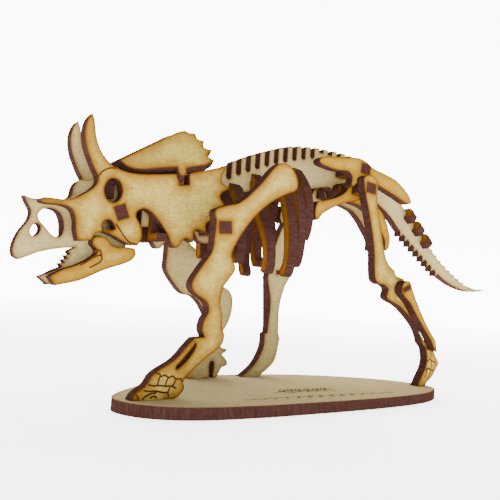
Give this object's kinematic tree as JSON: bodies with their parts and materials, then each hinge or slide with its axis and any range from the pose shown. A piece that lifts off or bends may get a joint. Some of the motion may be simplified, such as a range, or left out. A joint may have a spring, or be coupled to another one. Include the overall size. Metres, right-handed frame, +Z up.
{
  "type": "wooden 3d jigsaw model",
  "caption": "Slot-together wooden model of a horned dinosaur skeleton: laser-cut flat plates and ribs joined by tabs and cross bars, standing on an oval base.",
  "frame": {"origin": "underside of the oval base, on the middle plane of the skeleton, at the middle of the base's length", "axes": "-X towards the head, -Y towards the animal's left side, +Z up"},
  "size_m": [0.193, 0.0499, 0.0801],
  "materials": {
    "side_piece": "laser-cut board, matt, with scorched edges",
    "cross_piece": "laser-cut board, matt, with scorched edges",
    "base": "laser-cut board, matt, with scorched edges"
  },
  "bodies": {
    "base": {"base": "base"},
    "skeleton": {"spine_plate": "side_piece", "neck_cross_plate": "cross_piece", "shoulder_plate": "cross_piece", "rib_1": "cross_piece", "rib_2": "cross_piece", "rib_3": "cross_piece", "rib_4": "cross_piece", "rib_5": "cross_piece", "rib_6": "cross_piece", "front_leg_left": "side_piece", "front_leg_right": "side_piece", "hip_bar_upper": "cross_piece", "hip_bar_lower": "cross_piece", "hip_blade_left": "side_piece", "hip_blade_right": "side_piece", "pubis_left": "side_piece", "pubis_right": "side_piece", "ischium_left": "side_piece", "ischium_right": "side_piece", "hind_leg_left": "side_piece", "hind_leg_right": "side_piece", "calf_plate_left": "side_piece", "calf_plate_right": "side_piece", "knee_pin_left": "cross_piece", "knee_pin_right": "cross_piece", "tail_plate_1": "cross_piece", "tail_plate_2": "cross_piece", "tail_plate_3": "cross_piece"},
    "head": {"skull_core_plate": "side_piece", "skull_plate_left": "side_piece", "skull_plate_right": "side_piece", "jaw_plate_left": "side_piece", "jaw_plate_right": "side_piece", "frill_plate_left": "side_piece", "frill_plate_right": "side_piece", "skull_pin": "cross_piece", "brow_cross_plate": "cross_piece"}
  },
  "joints": [
    {"name": "skeleton_lift", "type": "slide", "parent": "base", "child": "skeleton", "axis": [0, 0, 1], "range_m": [0, 0.02]},
    {"name": "head_lift", "type": "slide", "parent": "skeleton", "child": "head", "axis": [0, 0, 1], "range_m": [0, 0.02]}
  ]
}
